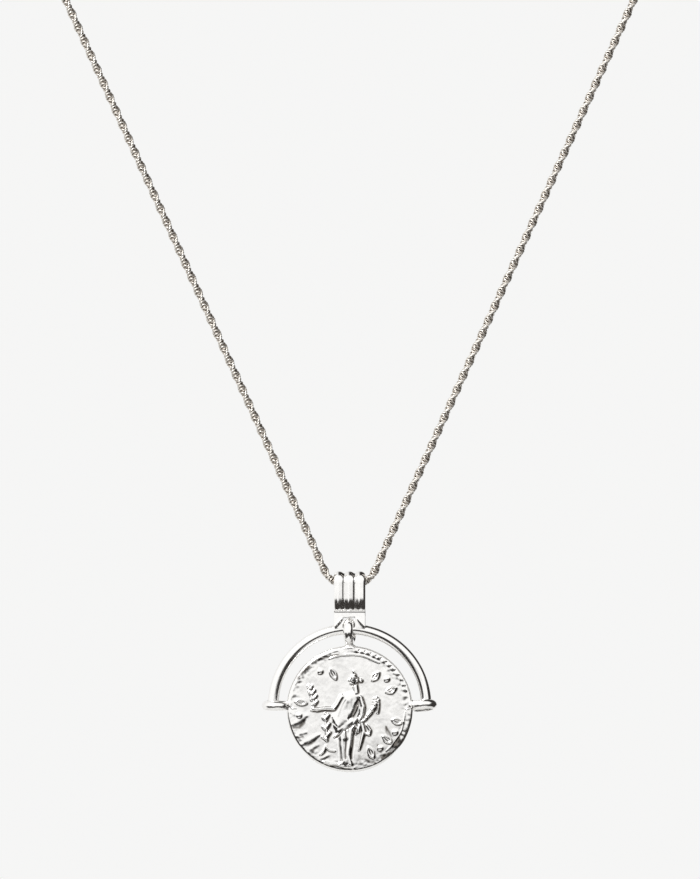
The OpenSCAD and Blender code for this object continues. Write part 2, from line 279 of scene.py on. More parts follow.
def fused(bm, voxel, rounds):
    """The overlapping solids of a bmesh as one skin, with inner corners as smooth as solder's."""
    skin = through_modifier(bm, "REMESH", mode="VOXEL", voxel_size=voxel / MM, adaptivity=0)
    for _ in range(rounds):
        bmesh.ops.smooth_vert(
            skin, verts=skin.verts, factor=0.5, use_axis_x=True, use_axis_y=True, use_axis_z=True
        )
    return skin


def without(bm, cutter):
    """A bmesh with the space of another cut out of it."""
    cutter.transform(Matrix.Scale(1 / MM, 4))
    tool = as_object("cutter", cutter)
    cut = through_modifier(
        bm, "BOOLEAN", operation="DIFFERENCE", solver="EXACT", use_self=True, object=tool
    )
    bpy.data.meshes.remove(tool.data)
    return cut


def finished(name, bm, place, body, nodes, material):
    """Makes a bmesh a smooth piece that rides on a body, and stands for CAD nodes."""
    bm.transform(place)
    piece = as_object(name, bm)
    polygons = piece.data.polygons
    polygons.foreach_set("use_smooth", np.ones(len(polygons), dtype=bool))
    piece.data.materials.append(material)
    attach(piece, body)
    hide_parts(*nodes)
    return piece


# Materials

# Scale of the haze that makes a polish uneven, and the least and most of its roughness, as shares
HAZE_SCALE = 900
LEAST_HAZE, MOST_HAZE = 0.7, 1.5


def eased(tree, value, low, high, at_low, at_high, way="SMOOTHSTEP"):
    """A value that goes from one number to another, and evenly if the way is LINEAR."""
    node = tree.nodes.new("ShaderNodeMapRange")
    node.interpolation_type = way
    tree.links.new(value, node.inputs["Value"])
    ends = zip(("From Min", "From Max", "To Min", "To Max"), (low, high, at_low, at_high))
    for name, number in ends:
        node.inputs[name].default_value = number
    return node.outputs["Result"]


def metal(name, look_colour, roughness):
    """A metal whose fine polish is a little uneven."""
    material = bpy.data.materials.new(name)
    material.use_nodes = True
    nodes, links = material.node_tree.nodes, material.node_tree.links
    shader = nodes["Principled BSDF"]
    shader.inputs["Metallic"].default_value = 1
    shader.inputs["Base Color"].default_value = (*look_colour, 1)
    where = nodes.new("ShaderNodeTexCoord")
    haze = nodes.new("ShaderNodeTexNoise")
    haze.inputs["Scale"].default_value = HAZE_SCALE
    haze.inputs["Detail"].default_value = 4
    links.new(where.outputs["Object"], haze.inputs["Vector"])
    least, most = roughness * LEAST_HAZE, roughness * MOST_HAZE
    polish = eased(material.node_tree, haze.outputs["Fac"], 0.3, 0.7, least, most, "LINEAR")
    links.new(polish, shader.inputs["Roughness"])
    return material


def darkened(material, attribute, shade):
    """Lets a point attribute of the piece darken its metal with painted shade, and on the coin with
    tarnish as well.
    """
    nodes, links = material.node_tree.nodes, material.node_tree.links
    shader = nodes["Principled BSDF"]
    # The attribute tells how much painted shade, and on the coin tarnish too, darkens each point
    depth = nodes.new("ShaderNodeAttribute")
    depth.attribute_name = attribute
    tarnish_and_shade = nodes.new("ShaderNodeMix")
    tarnish_and_shade.data_type = "RGBA"
    tarnish_and_shade.inputs["A"].default_value = shader.inputs["Base Color"].default_value
    tarnish_and_shade.inputs["B"].default_value = (*shade, 1)
    links.new(depth.outputs["Fac"], tarnish_and_shade.inputs["Factor"])
    links.new(tarnish_and_shade.outputs["Result"], shader.inputs["Base Color"])
    return material


# The coin


def point_field(mesh, name, values):
    """Keeps one number for each point of a mesh, for its material to read."""
    mesh.attributes.new(name, "FLOAT", "POINT").data.foreach_set("value", values.astype(np.float32))


def blank_coin(coin):
    """The plain coin: a section from its front's middle to its back's, turned about the Y axis."""
    flat_r = coin.coin_d / 2 - coin.edge_r
    half_t = coin.coin_t / 2
    front = np.linspace(0, flat_r, round(flat_r / coin.ring_step) + 1)
    back = np.linspace(flat_r, 0, round(flat_r / coin.back_step) + 1)
    section = [(r, -half_t) for r in front]
    for side, start in ((-1, -90), (1, 0)):
        for turn in np.radians(np.linspace(start, start + 90, 7)[1:]):
            edge_y = side * (half_t - coin.edge_r) + coin.edge_r * math.sin(turn)
            section.append((flat_r + coin.edge_r * math.cos(turn), edge_y))
    section += [(r, half_t) for r in back[1:]]
    return turned([(r, y, 0) for r, y in section], (0, 1, 0), coin.spokes)


# The relief, as strokes on the coin's face. A stroke is its rise as a share of the relief's height,
# and its points: right and up from the coin's centre and half the stroke's width there, in
# hundredths of the coin's radius.

# The figure's body, skirt and the cloth over its legs
SOFT_FORMS = (
    (0.9, ((-5, 14, 12), (-10, 0, 15), (-11, -16, 17), (-17, -26, 9))),
    (0.82, ((1, 18, 6), (-1, -8, 8))),
    (0.7, ((0, 21, 7), (12, 20, 6))),
    (0.72, ((7, 20, 9), (8, 2, 9), (5, -12, 10))),
    (0.85, ((-17, -33, 6), (3, -19, 8))),
    (0.85, ((-6, -24, 13), (-8, -36, 12), (-7, -45, 11))),
    (0.7, ((-7, -45, 11), (-6, -62, 10.5), (-5, -84, 9.5))),
)
# The low swells of the field at the lower left
FLOWS = (
    (0.1, ((-98, -28, 2.5), (-84, -21, 4), (-74, -13, 6.5), (-68, -10, 3))),
    (0.07, ((-90, -45, 2), (-79, -40, 3.5), (-69, -36, 2.5))),
    (0.09, ((-78, -58, 2), (-66, -50, 4.5), (-55, -43, 4), (-47, -40, 2))),
    (0.06, ((-66, -68, 2), (-58, -60, 4), (-50, -56, 2.5))),
    (0.06, ((-52, -84, 2), (-44, -77, 4), (-34, -72, 2.5))),
)
# The head, arms, legs, folds, horn and twigs, and the ground that the figure stands on
ROUND_FORMS = (
    (0.75, ((8.6, 38, 3.7), (9.6, 25, 4.5))),
    (0.85, ((6.1, 46.2, 5.6), (6.9, 43.4, 5))),
    (1, ((3.7, 50.2, 2.4), (7.3, 51.6, 2.9), (10.9, 49.6, 3), (12.3, 45.8, 2.6))),
    (0.85, ((17, 46.2, 3.1),)),
    (0.6, ((5.2, 60.5, 0.9), (7.4, 56.8, 1.6), (8.8, 53.6, 2))),
    (0.6, ((-0.4, 45.2, 1), (1.2, 47, 1.3))),
    (0.6, ((2.7, 40.8, 1.9), (4.9, 41, 2.4))),
    (0.9, ((-12, 20, 4.2), (-20, 8, 3.8), (-25.5, 1.5, 3.5))),
    (0.8, ((-25.5, 1.5, 3.5), (-40, 0.6, 2.9), (-52, 0, 2.7))),
    (0.75, ((-51, 0, 3.3), (-57.5, 1.6, 2.5))),
    (0.6, ((-55, -0.5, 1.3), (-60, -1.2, 1.1))),
    (0.8, ((17, 18, 3.6), (20.5, 5, 3.1), (20, -10, 2.8), (15, -19, 2.8))),
    (0.65, ((16, -22, 1.2), (25, -15.5, 2), (33, -6, 2.7), (38.5, 3, 3.4), (41.5, 10, 4))),
    (0.75, ((37.5, 12.5, 1.2), (42, 14, 1.5), (46, 11, 1.2))),
    (0.65, ((39, 17, 2),)),
    (0.7, ((42.5, 18, 2.2),)),
    (0.65, ((45.5, 15, 1.8),)),
    (0.7, ((46, 9, 1.5), (45.5, 1, 1.4), (44, -6, 1.1))),
    (0.85, ((9, -17, 3), (3.5, -31, 4.2), (-0.5, -52, 3.6), (-2, -73, 2.8), (0.5, -87, 3))),
    (0.7, ((-11, -36, 4.4), (-11, -58, 3.8), (-9.5, -83, 2.8))),
    (0.6, ((-9.5, -84, 3), (-15, -86, 2))),
    (0.65, ((0.5, -87, 3.2), (-5, -90, 2))),
    (0.6, ((12.5, -14.5, 1.6), (1, -23.5, 1.9), (-11, -31, 1.9), (-24, -43, 1.3))),
    (0.55, ((19, -23, 2.6), (21.5, -36, 3), (18.5, -50, 2.6), (14.5, -65, 0.9))),
    (0.6, ((27, -25, 1.6), (32, -33, 2), (30.5, -40, 1.9), (24.5, -38, 1.4))),
    (0.5, ((8, -25, 1.5), (12.5, -31, 1.5), (9.5, -39, 1.2))),
    (0.45, ((15.5, -26, 1.3), (13.5, -36, 1.3))),
    (0.6, ((-38.5, -7, 1.6), (-37.5, -28, 2.2), (-36, -50, 1.8))),
    (0.6, ((-37, -14, 2), (-33.5, -9, 2.2))),
    (0.6, ((-37.5, -18, 2), (-42.5, -13, 1.8))),
    (0.65, ((-36.5, -28, 2.4), (-32.5, -22, 2.2))),
    (0.6, ((-37, -33, 2), (-42.5, -27, 1.8))),
    (0.65, ((-36, -43, 2.6), (-32, -36, 2.2))),
    (0.6, ((-36.5, -49, 2), (-43, -44, 2))),
    (0.5, ((-38, -58, 1.4), (-41, -66, 1.7), (-46, -72, 1))),
    (0.45, ((-37, -60, 1.4), (-31, -65, 1.7), (-24, -66, 1))),
    (0.5, ((-41, -83, 1.4), (-31, -86.5, 2.2), (-20, -87, 1.8), (-8, -91, 2.1), (5, -93, 1.5))),
    (0.35, ((-56, 3, 0.9), (-59.5, 20, 1), (-65, 40, 0.8))),
    (0.6, ((-57.5, 7, 2.1), (-55.5, 12, 1.5))),
    (0.6, ((-54.5, 8.5, 1.9), (-51, 13.5, 1.4))),
    (0.6, ((-60, 15, 2.1), (-61.5, 20.5, 1.4))),
    (0.6, ((-57, 17, 2), (-53, 22, 1.4))),
    (0.6, ((-62, 23, 2), (-64.5, 28.5, 1.4))),
    (0.6, ((-59, 25, 1.9), (-55.5, 30.5, 1.3))),
    (0.55, ((-63.5, 31.5, 1.7), (-66.5, 37, 1.1))),
    (0.55, ((-61, 33, 1.6), (-59, 38.5, 1.1))),
)
# The hollows, which are painted dark with shade and tarnish the deeper they are, and the bright
# ridge in the body's hollow
CUTS = (
    (-0.24, ((16, 18, 1.8), (12, 8, 4.4), (9.5, -2, 5), (5, -10, 5), (-2, -15, 2.4))),
    (0.3, ((12.8, 6, 0.9), (9.5, -3, 0.9), (5, -10.5, 0.8))),
    (-0.3, ((14, -18, 1.2), (2, -28, 1.4), (-10, -35, 1.3), (-22, -46, 1))),
    (-0.22, ((-27, -14, 1), (-25.5, -22, 1.2), (-20.5, -28, 1))),
    (-0.06, ((-6, 14, 1.6), (-13, 2, 1.8), (-17, -12, 1.6))),
    (-0.3, ((-5.5, -34, 1.3), (-6, -55, 1.5), (-6.5, -78, 1.4))),
    (-0.25, ((6.5, -36, 2), (4.5, -58, 2.2), (3.5, -78, 2))),
    (-0.2, ((-16, -42, 1.2), (-15.5, -60, 1.4), (-14, -80, 1.2))),
    (-0.26, ((7, 45, 2.4), (8, 41.5, 3))),
    (-0.3, ((6.5, 58.5, 0.8), (9, 55, 1.8), (10.5, 51.5, 2.4), (11.5, 48.5, 1.8))),
    (-0.4, ((14.4, 49, 1), (14, 43.5, 1))),
    (-0.35, ((3, 38.6, 1), (6, 37.6, 1.3), (10, 39.5, 1))),
    (-0.2, ((1.8, 46, 0.6), (3.6, 46.1, 0.6))),
    (-0.16, ((0.9, 43, 0.5), (2.5, 42.9, 0.5))),
    (-0.2, ((27, -11, 0.8), (29.5, -14, 0.8))),
    (-0.2, ((32.5, -2, 0.9), (37, -5.5, 0.9))),
    (-0.2, ((36, 6, 0.9), (42, 3.5, 0.9))),
    (-0.15, ((18.5, -34, 0.7), (16.5, -50, 0.7), (14.5, -60, 0.6))),
)

# Patches painted dark, as painted shade and dark reflection with some tarnish, as strokes whose
# first number is how dark they are
PATCHES = (
    (0.85, ((-83, 47.5, 1), (-75, 58, 3), (-65.5, 67.5, 3.8), (-54.5, 75.5, 3.2))),
    (0.85, ((-54.5, 75.5, 3.2), (-39.5, 82, 2.2), (-20, 86, 1.4), (0, 86.5, 0.8))),
    (0.8, ((-70, -14, 2), (-74, -21, 4.5), (-80, -28, 3), (-94, -31, 1))),
    (0.6, ((-84, -47, 1), (-74, -44, 1.8))),
    (0.85, ((-70, -60, 1.5), (-61, -53, 3.2), (-53, -47, 1.5))),
    (0.6, ((-54, -58, 2), (-58, -66, 3.5), (-60, -73, 2.5))),
    (0.5, ((-64, -70, 2), (-51, -81, 3), (-44, -87, 2))),
    (0.85, ((58, -28, 2), (60, -35, 4), (64, -43, 3.6))),
    (0.95, ((78, -42, 3), (76, -50, 5.5), (68, -57, 4))),
    (0.85, ((44, -56, 2), (46, -62, 4.2), (50, -68, 3))),
    (0.95, ((84, -49, 2), (72, -65, 5), (52, -77, 4))),
    (0.85, ((24, -79, 1.5), (34, -83, 3.6), (41, -86, 2.5))),
    (0.75, ((5, -32, 1.5), (4, -55, 2.5), (3, -86, 2.5))),
    (0.35, ((14, -62, 2.5), (16, -82, 3.5))),
    (0.5, ((-15, -44, 1.2), (-14, -84, 2))),
)

# Marks where a coin has its legend: degrees round the coin, share of its radius, and kind
MARKS = (
    (115, 0.62, "leaf"), (128, 0.76, "pellet"), (172, 0.78, "leaf"), (187, 0.8, "pellet"),
    (52, 0.66, "leaf"), (39, 0.76, "pellet"), (25, 0.72, "leaf"), (-14, 0.78, "leaf"),
    (-27, 0.8, "pellet"), (-39, 0.76, "leaf"), (-52, 0.78, "pellet"), (-64, 0.76, "leaf"),
)

# The border's pearls and the pits between them: how many, and the first one's place in degrees
PEARLS, FIRST_PEARL = 12, 19.5
PITS, FIRST_PIT = 11, 22.4
PEARL_STEP = 5.85

# Places of the two worn flats, in degrees
FLATS = (222, 318)

# Points from the middle of the relief's grid to its edge
GRID_HALF = 220

# Share of the rounded edge over which the relief fades out
FADE = 0.6


def arc_stroke(rise, radius, first, last, widths):
    """A stroke round the coin, from one place in degrees to another, with its half widths."""
    turns = np.radians(np.linspace(first, last, len(widths)))
    points = tuple((radius * math.cos(a), radius * math.sin(a), w) for a, w in zip(turns, widths))
    return (rise, points)


def leaf_strokes(place, share_out):
    """A leaf that points outwards at a place in degrees: two bowed sides and a midrib."""
    out = np.array([math.cos(math.radians(place)), math.sin(math.radians(place))])
    side = np.array([-out[1], out[0]])
    foot = out * (100 * share_out - 9)
    strokes = []
    for bow in (-4.2, 0, 4.2):
        rise, width = (0.5, 1.25) if bow else (0.4, 0.8)
        line = [
            foot + out * 18 * t + side * bow * math.sin(math.pi * t) for t in np.linspace(0, 1, 7)
        ]
        strokes.append((rise, tuple((x, y, width) for x, y in line)))
    return strokes


def dot_stroke(rise, radius, place, width):
    """A round dot on the coin's face, at a place in degrees."""
    turn = math.radians(place)
    return (rise, ((radius * math.cos(turn), radius * math.sin(turn), width),))


def border_strokes():
    """The thin lines inside the rim, the pearls and the marks."""
    strokes = [
        arc_stroke(0.3, 86.5, 112, 58, (0.8,) + (1.1,) * 12),
        arc_stroke(0.2, 88, -2, -48, (0.9,) * 8),
    ]
    strokes += [dot_stroke(0.13, 94, FIRST_PEARL + PEARL_STEP * k, 4.4) for k in range(PEARLS)]
    for place, share_out, kind in MARKS:
        if kind == "leaf":
            strokes += leaf_strokes(place, share_out)
        else:
            strokes.append(dot_stroke(0.55, 100 * share_out, place, 4.4))
    return strokes


def stroke_rise(right, up, stroke, foot):
    """The rise of one stroke over a grid. A foot of 1 is soft, and 0.5 is upright."""
    rise, points = stroke
    highest = np.zeros_like(right)
    for (x, y, size), (to_x, to_y, to_size) in zip(points, points[1:] or points):
        way_x, way_y = to_x - x, to_y - y
        reach = way_x**2 + way_y**2
        along = np.clip(((right - x) * way_x + (up - y) * way_y) / max(reach, 1e-9), 0, 1)
        off = np.hypot(right - x - way_x * along, up - y - way_y * along)
        off /= size + (to_size - size) * along
        highest = np.maximum(highest, np.clip(1 - off**2, 0, None) ** foot)
    return rise * highest


def softened(grid, rounds):
    """A grid whose points are evened out with their neighbours."""
    for _ in range(rounds):
        for axis in (0, 1):
            grid = grid / 2 + (np.roll(grid, 1, axis) + np.roll(grid, -1, axis)) / 4
    return grid


def relief_grid():
    """The relief's height over a square grid, as shares of it, and how dark each point is painted,
    with tarnish and painted shade.
    """
    line = np.linspace(-100, 100, 2 * GRID_HALF + 1)
    right, up = np.meshgrid(line, line)
    # The strokes are drawn on a grid that is a little uneven, as wear leaves them
    worn = (
        right + 0.7 * np.sin(up / 6.1 + 0.7) * np.cos(right / 8.3),
        up + 0.7 * np.sin(right / 5.7 - 1.1) * np.cos(up / 7.9),
    )
    grain = softened(np.random.default_rng(7).standard_normal(right.shape), 24)
    grain /= grain.std()
    height = np.zeros_like(right)
    for stroke in SOFT_FORMS:
        height = np.maximum(height, stroke_rise(*worn, stroke, 0.6))
    rim_swell = arc_stroke(0.08, 97, 97, 160, (2, 4, 6, 7, 7, 7.5, 8, 6, 2))
    for stroke in (*FLOWS, rim_swell):
        height = np.maximum(height, stroke_rise(*worn, stroke, 1))
    height = softened(height, 12)
    ground = height
    for stroke in (*ROUND_FORMS, *border_strokes()):
        height = np.maximum(height, stroke_rise(*worn, stroke, 0.5))
    # Tarnish and painted shade lie on the ground between the raised forms and in the hollows, and a
    # painted shadow lies to the lower right of what is steep
    tarnish_and_shade = np.max([stroke_rise(*worn, stroke, 1) for stroke in PATCHES], axis=0)
    tarnish_and_shade *= (1 - np.clip((height - ground) / 0.2, 0, 1)) * (1.2 + 0.4 * grain)
    for stroke in CUTS:
        cut = stroke_rise(*worn, stroke, 1)
        height += cut
        tarnish_and_shade = np.maximum(tarnish_and_shade, -4 * cut)
    height = softened(height, 2)
    # A painted shadow: the height, blurred and moved from the upper left, less the sharp height,
    # darkens the ground to the lower right of raised forms
    sharp = height - 0.6 * ground
    deep_shade = softened(np.roll(sharp, (-3, 3), (0, 1)), 24) - sharp
    # The pits between the pearls are sunk, and painted dark with tarnish and painted shade
    for place in FIRST_PIT + PEARL_STEP * np.arange(PITS):
        pit = stroke_rise(*worn, dot_stroke(1, 94.5, place, 1.9), 0.5)
        height -= 0.3 * pit
        tarnish_and_shade = np.maximum(tarnish_and_shade, pit)
    # The field falls away a little at the lower right, and is rougher near the edge
    out = np.hypot(right, up) / 100
    lower_right = np.clip((right - up) / 140, 0, 1) * np.clip((out - 0.5) / 0.5, 0, 1) ** 2
    waves = 0.012 * np.sin(right / 9 + up / 23) * np.sin(up / 11 - right / 31)
    waves += (0.0025 + 0.0125 * np.clip((out - 0.8) / 0.1, 0, 1)) * grain
    tarnish_and_shade = np.maximum(softened(tarnish_and_shade, 2), (deep_shade - 0.05) / 0.1)
    return height - 0.15 * lower_right + waves, np.clip(tarnish_and_shade, 0, 1)


def sampled(grid, right, up):
    """Values between a grid's points, at places in shares of its half width."""
    last = len(grid) - 1
    x = np.clip((right + 1) / 2 * last, 0, last - 1e-6)
    y = np.clip((up + 1) / 2 * last, 0, last - 1e-6)
    i, j = x.astype(int), y.astype(int)
    u, v = x - i, y - j
    low = grid[j, i] * (1 - u) + grid[j, i + 1] * u
    high = grid[j + 1, i] * (1 - u) + grid[j + 1, i + 1] * u
    return low * (1 - v) + high * v


def struck(bm, coin):
    """Raises the relief on the coin's front, wears its flats, and returns how dark each point is
    painted with tarnish and shade.
    """
    radius = coin.coin_d / 2
    height, tarnish_and_shade = relief_grid()
    points = np.array([v.co for v in bm.verts])
    right, up = points[:, 0] / radius, points[:, 2] / radius
    faded = coin.edge_r * FADE
    edge = radius - coin.edge_r + faded
    fade = np.clip((edge - np.hypot(points[:, 0], points[:, 2])) / faded, 0, 1)
    front = points[:, 1] < -coin.coin_t / 2 + faded
    points[:, 1] -= np.where(front, sampled(height, right, up) * fade * coin.relief_h, 0)
    for flat in np.radians(FLATS):
        way = np.array([math.cos(flat), 0, math.sin(flat)])
        over = np.clip(points @ way - (radius - coin.flat_depth), 0, None)
        points -= over[:, None] * way
    for vert, point in zip(bm.verts, points):
        vert.co = point
    return np.where(front, sampled(tarnish_and_shade, right, up) * fade, 0)


class PENDANT_OT_cast_coin(bpy.types.Operator):
    """Cast the coin with its relief."""

    bl_idname = "pendant.cast_coin"
    bl_label = "Cast the coin"

    def execute(self, context):
        scene = context.scene
        coin, arch, look = scene.coin_sizes, scene.arch_sizes, scene.silver_look
        bm = blank_coin(coin)
        tarnish_and_shade = struck(bm, coin)
        place = Matrix.Translation(hook(scene.chain_sizes) + coin_centre(coin, arch))
        # The coin's silver is darkened by tarnish and painted shade from the relief's grid
        silver = darkened(metal("cast_silver", look.bright, look.polish), "coin_tarnish_and_shade", look.coin_tarnish_and_shade)
        piece = finished("coin_cast", bm, place, "pendant", ["coin"], silver)
        point_field(piece.data, "coin_tarnish_and_shade", tarnish_and_shade)
        return {"FINISHED"}


# Edge of the cells in which the soldered pieces are fused, and rounds of smoothing after it
LOOP_CELL, LOOP_ROUNDS = 0.055 * MM, 5
BAIL_CELL, BAIL_ROUNDS = 0.07 * MM, 4

# Depth inside the coin's edge of the middle of a loop's solder
SOLDER_DEPTH = 0.3 * MM

# A run of solder at the bail's foot: its place right of the middle, in from the arch's front and
# above its crown, its radii, and its lean in degrees
RUN_RIGHT, RUN_IN, RUN_UP = 1.62 * MM, 0.1 * MM, 0.98 * MM
RUN_RADII = (0.98 * MM, 0.24 * MM, 0.2 * MM)
RUN_LEAN = 52


def loop_shift(coin, arch):
    """Distance from the middle of the arch's wire to the middle of the loop that hangs on it."""
    return coin.loop_bore_d / 2 - arch.wire_d / 2 - coin.seat


def top_loop_place(coin, arch):
    """The top loop's place on the arch's crown, and how it is turned."""
    return (
        Matrix.Translation((0, 0, crown_z(arch) - loop_shift(coin, arch)))
        @ Matrix.Rotation(-coin.top_turn, 4, "Z")
        @ Matrix.Rotation(math.pi / 2, 4, "Y")
    )


def loop_ring(bm, coin, place):
    """A loop of half-round wire about its own Z axis, put in its place."""
    inner = coin.loop_bore_d / 2
    outer = inner + coin.loop_wall
    bead = coin.loop_w / 2
    half = bead * math.sin(math.acos((bead - coin.loop_wall) / bead))
    turns = np.linspace(-math.asin(half / bead), math.asin(half / bead), 15)
    section = [(outer - bead + bead * math.cos(a), 0, bead * math.sin(a)) for a in turns]
    face = shaped(bm, section)
    before = set(bm.verts) - set(face.verts)
    spun(bm, bordered(face), (0, 0, 0), (0, 0, 1), math.tau, 72, whole=True)
    made = [v for v in bm.verts if v not in before]
    bmesh.ops.transform(bm, matrix=place, verts=made)


def solder_bead(bm, place, radii, tilt=0):
    """A bead of solder: a ball pressed to three radii, turned about Y and put in its place."""
    made = bmesh.ops.create_icosphere(bm, subdivisions=4, radius=1)["verts"]
    shape = Matrix.Translation(place) @ Matrix.Rotation(tilt, 4, "Y") @ Matrix.Diagonal((*radii, 1))
    bmesh.ops.transform(bm, matrix=shape, verts=made)


class PENDANT_OT_solder_loops(bpy.types.Operator):
    """Solder the three loops on the coin's edge."""

    bl_idname = "pendant.solder_loops"
    bl_label = "Solder the loops"

    def execute(self, context):
        scene = context.scene
        coin, arch, look = scene.coin_sizes, scene.arch_sizes, scene.silver_look
        bm = bmesh.new()
        side_x = arch_r(coin, arch) - loop_shift(coin, arch)
        centre = arch_centre_z(coin, arch)
        right = (
            Matrix.Translation((side_x, 0, centre))
            @ Matrix.Rotation(-coin.right_roll, 4, "Y")
            @ Matrix.Rotation(-coin.right_tilt, 4, "X")
        )
        left = Matrix.Translation((-side_x, 0, centre))
        for place in (top_loop_place(coin, arch), right, left):
            loop_ring(bm, coin, place)
        # Each bead of solder: right and up from the coin's centre, and its three radii
        mouth = coin.coin_d / 2 - SOLDER_DEPTH
        middle = coin_centre(coin, arch)
        for x, z, radii in (
            (0, mouth, (1.05, 0.9, 0.62)),
            (0.6 * MM, mouth - 0.1 * MM, (0.9, 0.86, 0.36)),
            (-0.6 * MM, mouth - 0.1 * MM, (0.9, 0.86, 0.36)),
            (mouth, arch.coin_drop + 0.1 * MM, (0.75, 0.88, 0.8)),
            (mouth - 0.5 * MM, arch.coin_drop - 0.5 * MM, (0.6, 0.9, 0.4)),
            (-mouth, arch.coin_drop, (0.75, 0.88, 0.8)),
            (0.8 * MM - mouth, arch.coin_drop - 0.4 * MM, (0.85, 0.92, 0.5)),
        ):
            solder_bead(bm, middle + Vector((x, 0, z)), Vector(radii) * MM)
        outwards(bm)
        bm = fused(bm, LOOP_CELL, LOOP_ROUNDS)
        silver = metal("soldered_silver", look.bright, look.polish)
        place = Matrix.Translation(hook(scene.chain_sizes))
        finished("coin_loops", bm, place, "pendant", ["coin"], silver)
        return {"FINISHED"}


def rib_outline(arch):
    """The bail's section across its ribs: distance from the chain's axis, and place along it."""
    half = arch.rib_w / 2
    rib_r = (half**2 + arch.rib_depth**2) / (2 * arch.rib_depth)
    out_r = arch.bail_in_r + arch.bail_wall
    reach = math.asin(half / rib_r)
    line = [(arch.bail_in_r, arch.ribs * half), (arch.bail_in_r, -arch.ribs * half)]
    for rib in range(arch.ribs):
        middle = (rib - (arch.ribs - 1) / 2) * arch.rib_w
        for turn in np.linspace(-reach, reach, 17):
            line.append((out_r - rib_r + rib_r * math.cos(turn), middle + rib_r * math.sin(turn)))
    return line


def half_depth(arch, drop):
    """Half of the bail's depth at a rib's ridge, at a distance below the chain's axis."""
    bowed = max(drop - arch.bow_start, 0)
    return arch.bail_in_r + arch.bail_wall - arch.bow_r + math.sqrt(arch.bow_r**2 - bowed**2)


def rib_end(arch):
    """A rib's sweep round the bow, and the place of the centre of its rounded end."""
    rib_l = arch.bail_h - arch.saddle_h - arch.rib_end_r
    sweep = math.asin((rib_l - arch.bow_start) / arch.bow_r)
    end_y = half_depth(arch, rib_l) - arch.rib_end_r * math.cos(sweep)
    return sweep, end_y, arch.rib_end_r * math.sin(sweep) - rib_l


def ribbed_bail(bm, arch):
    """The bail: its ribbed section spun over the chain, bowed in, and rounded at its ends."""
    out_r = arch.bail_in_r + arch.bail_wall
    reach, end_y, end_z = rib_end(arch)
    section = shaped(bm, [(x, -r, 0) for r, x in rib_outline(arch)])
    last = spun(bm, bordered(section), (0, 0, 0), (1, 0, 0), -math.pi, 64)
    other = next(g for g in last if isinstance(g, bmesh.types.BMFace))
    for side, face in ((1, section), (-1, other)):
        end = bordered(pushed(bm, face, (0, 0, -arch.bow_start)))
        middle = Vector((0, side * (arch.bow_r - out_r), -arch.bow_start))
        end = spun(bm, end, middle, (1, 0, 0), side * reach, 12)
        spun(bm, end, (0, -side * end_y, end_z), (1, 0, 0), side * math.radians(65), 12)


def saddle(bm, arch):
    """The smooth saddle under the ribs, with the solder that runs down it to the arch."""
    end_y, end_z = rib_end(arch)[1:]
    front = arch.wire_d / 2
    face_top = (front - arch.saddle_lean, crown_z(arch) + arch.saddle_h)
    right = [(end_y, end_z), face_top, (front, crown_z(arch))]
    outline = right + [(-y, z) for y, z in reversed(right)]
    half_w = arch.ribs * arch.rib_w / 2
    pushed(bm, shaped(bm, [(-half_w, y, z) for y, z in outline]), (2 * half_w, 0, 0))
    for side in (-1, 1):
        for face in (-1, 1):
            foot = Vector((side * RUN_RIGHT, face * (front - RUN_IN), crown_z(arch) + RUN_UP))
            solder_bead(bm, foot, RUN_RADII, side * math.radians(RUN_LEAN))


def loop_notch(coin, arch):
    """The space that lets the top loop pass round the arch's crown."""
    outer = coin.loop_bore_d / 2 + coin.loop_wall + arch.notch_gap
    cutter = bmesh.new()
    width = coin.loop_w + 2 * arch.notch_gap
    place = top_loop_place(coin, arch)
    bmesh.ops.create_cone(
        cutter, cap_ends=True, segments=64, radius1=outer, radius2=outer, depth=width, matrix=place
    )
    return cutter


def wire_arch(bm, coin, arch):
    """The arch of round wire with its straight feet."""
    centre = Vector((0, 0, arch_centre_z(coin, arch)))
    radius = arch_r(coin, arch)
    place = Matrix.Translation(centre + Vector((radius, 0, 0)))
    made = bmesh.ops.create_circle(
        bm, cap_ends=True, segments=48, radius=arch.wire_d / 2, matrix=place
    )["verts"]
    face = made[0].link_faces[0]
    last = spun(bm, bordered(face), centre, (0, 1, 0), -math.pi, 180)
    end = next(g for g in last if isinstance(g, bmesh.types.BMFace))
    for foot in (face, end):
        pushed(bm, foot, (0, 0, -arch.foot_l))


class PENDANT_OT_bend_arch(bpy.types.Operator):
    """Bend the arch and solder the ribbed bail on its crown."""

    bl_idname = "pendant.bend_arch"
    bl_label = "Bend the arch and bail"

    def execute(self, context):
        scene = context.scene
        coin, arch, look = scene.coin_sizes, scene.arch_sizes, scene.silver_look
        bail = bmesh.new()
        ribbed_bail(bail, arch)
        saddle(bail, arch)
        outwards(bail)
        bail = without(fused(bail, BAIL_CELL, 0), loop_notch(coin, arch))
        wire_arch(bail, coin, arch)
        outwards(bail)
        bail = fused(bail, BAIL_CELL, BAIL_ROUNDS)
        silver = metal("polished_silver", look.bright, look.polish)
        place = Matrix.Translation(hook(scene.chain_sizes))
        node = "arch_and_bail"
        finished("arch_and_bail_fused", bail, place, "pendant", [node], silver)
        return {"FINISHED"}


# The chain

# Free space round an end of the chain in its socket of the clasp, and past it
SOCKET_GAP = 0.1 * MM

CLASP_ROUND = 0.7 * MM

# Shares of the rope's radius, in from its skin, where the painted shade between the links starts to
# darken its wire and is darkest
LIT_DEPTH, DARK_DEPTH = 0.08, 0.38


def bezier(p, t):
    """Points of a cubic curve from its four control points."""
    t = t[:, None]
    start = p[0] * (1 - t) ** 3 + p[1] * 3 * t * (1 - t) ** 2
    return start + p[2] * 3 * t**2 * (1 - t) + p[3] * t**3


